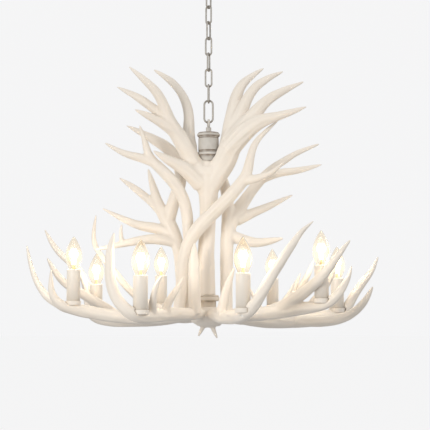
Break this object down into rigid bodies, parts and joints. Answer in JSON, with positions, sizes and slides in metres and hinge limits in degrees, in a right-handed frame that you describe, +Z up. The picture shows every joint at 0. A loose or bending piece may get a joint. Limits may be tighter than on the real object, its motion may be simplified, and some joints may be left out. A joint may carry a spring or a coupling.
{
  "type": "antler chandelier",
  "caption": "Chandelier of white cast antlers round a tined trunk, with candle lights on low antlers, hung by a link chain from a ceiling canopy.",
  "frame": {"origin": "middle of the canopy's rim and of the crossbar's upper face, on the ceiling", "axes": "+Z up, into the ceiling; -Y towards the viewer of the picture; +X to the right"},
  "size_m": [0.868, 0.6979, 0.9245],
  "materials": {
    "antler_resin": "matte cast resin",
    "patinated_paint": "distressed grey-white paint",
    "chain_paint": "satin off-white paint",
    "canopy_paint": "satin off-white paint",
    "zinc_steel": "zinc plated",
    "pan_resin": "matte cast resin",
    "candle_sleeve": "smooth matte",
    "lampholder": "moulded plastic",
    "bulb_glass": "clear",
    "bulb_brass": "polished"
  },
  "bodies": {
    "ceiling_mount": {"canopy": "canopy_paint", "mounting_bracket": "zinc_steel", "canopy_ring_nut": "canopy_paint", "canopy_loop": "canopy_paint"},
    "chain_link_1": {"chain_link_1": "chain_paint"},
    "chain_link_2": {"chain_link_2": "chain_paint"},
    "chain_link_3": {"chain_link_3": "chain_paint"},
    "chain_link_4": {"chain_link_4": "chain_paint"},
    "chain_link_5": {"chain_link_5": "chain_paint"},
    "chain_link_6": {"chain_link_6": "chain_paint"},
    "chain_link_7": {"chain_link_7": "chain_paint"},
    "chain_link_8": {"chain_link_8": "chain_paint"},
    "chandelier": {"hub_eye": "patinated_paint", "hub_cap": "patinated_paint", "hub_body": "patinated_paint", "hub_ring": "patinated_paint", "hub_neck": "patinated_paint", "threaded_rod": "zinc_steel", "rod_nuts": "zinc_steel", "centre_plate": "patinated_paint", "finial": "antler_resin", "front_crown_antler": "antler_resin", "front_arch_antler": "antler_resin", "left_arch_antler": "antler_resin", "left_rear_antler": "antler_resin", "right_rear_antler": "antler_resin", "low_antler_1": "antler_resin", "low_antler_2": "antler_resin", "low_antler_3": "antler_resin", "low_antler_4": "antler_resin", "low_antler_5": "antler_resin", "low_antler_6": "antler_resin", "low_antler_7": "antler_resin", "low_antler_8": "antler_resin", "candle_pans": "pan_resin", "candle_sleeves": "candle_sleeve", "lampholders": "lampholder"},
    "bulb_1": {"bulb_glass_1": "bulb_glass", "bulb_cap_1": "bulb_brass"},
    "bulb_2": {"bulb_glass_2": "bulb_glass", "bulb_cap_2": "bulb_brass"},
    "bulb_3": {"bulb_glass_3": "bulb_glass", "bulb_cap_3": "bulb_brass"},
    "bulb_4": {"bulb_glass_4": "bulb_glass", "bulb_cap_4": "bulb_brass"},
    "bulb_5": {"bulb_glass_5": "bulb_glass", "bulb_cap_5": "bulb_brass"},
    "bulb_6": {"bulb_glass_6": "bulb_glass", "bulb_cap_6": "bulb_brass"},
    "bulb_7": {"bulb_glass_7": "bulb_glass", "bulb_cap_7": "bulb_brass"},
    "bulb_8": {"bulb_glass_8": "bulb_glass", "bulb_cap_8": "bulb_brass"}
  },
  "joints": [
    {"name": "chain_link_1_swing", "type": "hinge", "parent": "ceiling_mount", "child": "chain_link_1", "pos_m": [0, 0, -0.0736], "axis": [0.6691, -0.7431, 0], "range_deg": [-15, 15]},
    {"name": "chain_link_2_swing", "type": "hinge", "parent": "chain_link_1", "child": "chain_link_2", "pos_m": [0, 0, -0.1128], "axis": [0.6691, 0.7431, 0], "range_deg": [-15, 15]},
    {"name": "chain_link_3_swing", "type": "hinge", "parent": "chain_link_2", "child": "chain_link_3", "pos_m": [0, 0, -0.1523], "axis": [-0.809, 0.5878, 0], "range_deg": [-15, 15]},
    {"name": "chain_link_4_swing", "type": "hinge", "parent": "chain_link_3", "child": "chain_link_4", "pos_m": [0, 0, -0.1918], "axis": [-0.5, -0.866, 0], "range_deg": [-15, 15]},
    {"name": "chain_link_5_swing", "type": "hinge", "parent": "chain_link_4", "child": "chain_link_5", "pos_m": [0, 0, -0.2313], "axis": [0.9135, -0.4067, 0], "range_deg": [-15, 15]},
    {"name": "chain_link_6_swing", "type": "hinge", "parent": "chain_link_5", "child": "chain_link_6", "pos_m": [0, 0, -0.2708], "axis": [0.309, 0.9511, 0], "range_deg": [-15, 15]},
    {"name": "chain_link_7_swing", "type": "hinge", "parent": "chain_link_6", "child": "chain_link_7", "pos_m": [0, 0, -0.3103], "axis": [-0.9781, 0.2079, 0], "range_deg": [-15, 15]},
    {"name": "chain_link_8_swing", "type": "hinge", "parent": "chain_link_7", "child": "chain_link_8", "pos_m": [0, 0, -0.3498], "axis": [-0.1045, -0.9945, 0], "range_deg": [-15, 15]},
    {"name": "chandelier_swing", "type": "hinge", "parent": "chain_link_8", "child": "chandelier", "pos_m": [0, 0, -0.3992], "axis": [1, 0, 0], "range_deg": [-20, 20]},
    {"name": "bulb_1_lift", "type": "slide", "parent": "chandelier", "child": "bulb_1", "axis": [0, 0, 1], "range_m": [0, 0.03]},
    {"name": "bulb_2_lift", "type": "slide", "parent": "chandelier", "child": "bulb_2", "axis": [0, 0, 1], "range_m": [0, 0.03]},
    {"name": "bulb_3_lift", "type": "slide", "parent": "chandelier", "child": "bulb_3", "axis": [0, 0, 1], "range_m": [0, 0.03]},
    {"name": "bulb_4_lift", "type": "slide", "parent": "chandelier", "child": "bulb_4", "axis": [0, 0, 1], "range_m": [0, 0.03]},
    {"name": "bulb_5_lift", "type": "slide", "parent": "chandelier", "child": "bulb_5", "axis": [0, 0, 1], "range_m": [0, 0.03]},
    {"name": "bulb_6_lift", "type": "slide", "parent": "chandelier", "child": "bulb_6", "axis": [0, 0, 1], "range_m": [0, 0.03]},
    {"name": "bulb_7_lift", "type": "slide", "parent": "chandelier", "child": "bulb_7", "axis": [0, 0, 1], "range_m": [0, 0.03]},
    {"name": "bulb_8_lift", "type": "slide", "parent": "chandelier", "child": "bulb_8", "axis": [0, 0, 1], "range_m": [0, 0.03]}
  ]
}
